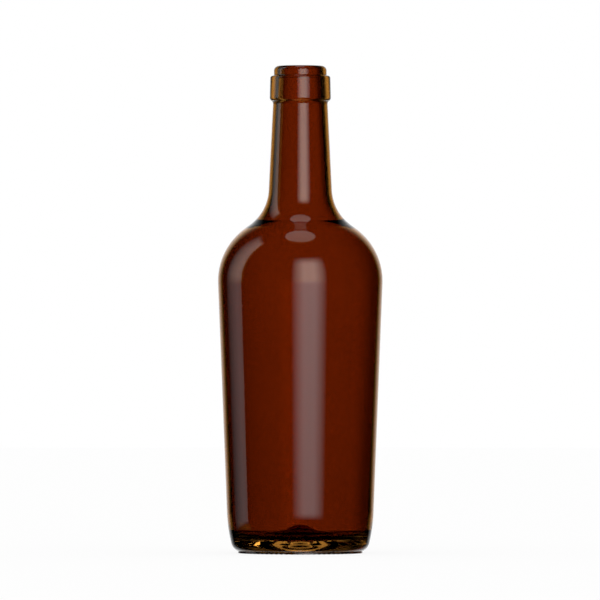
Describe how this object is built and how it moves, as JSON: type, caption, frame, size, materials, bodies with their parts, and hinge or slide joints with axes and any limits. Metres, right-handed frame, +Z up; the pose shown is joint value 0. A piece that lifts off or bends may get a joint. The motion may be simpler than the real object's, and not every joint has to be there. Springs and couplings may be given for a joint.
{
  "type": "wine bottle",
  "caption": "Empty round wine bottle of dark amber glass: tapered body, round shoulder, straight neck with a cork finish, and a punt under the base.",
  "frame": {"origin": "centre of the circle that the bearing ring stands on", "axes": "+Z up along the bottle's axis; the bottle is round, so +X and +Y only fix where the knurls fall"},
  "size_m": [0.0778, 0.0778, 0.23],
  "materials": {
    "amber_glass": "smooth, clear, dark amber glass with a fire-polished gloss"
  },
  "bodies": {
    "root": {"bottle": "amber_glass"}
  },
  "joints": []
}
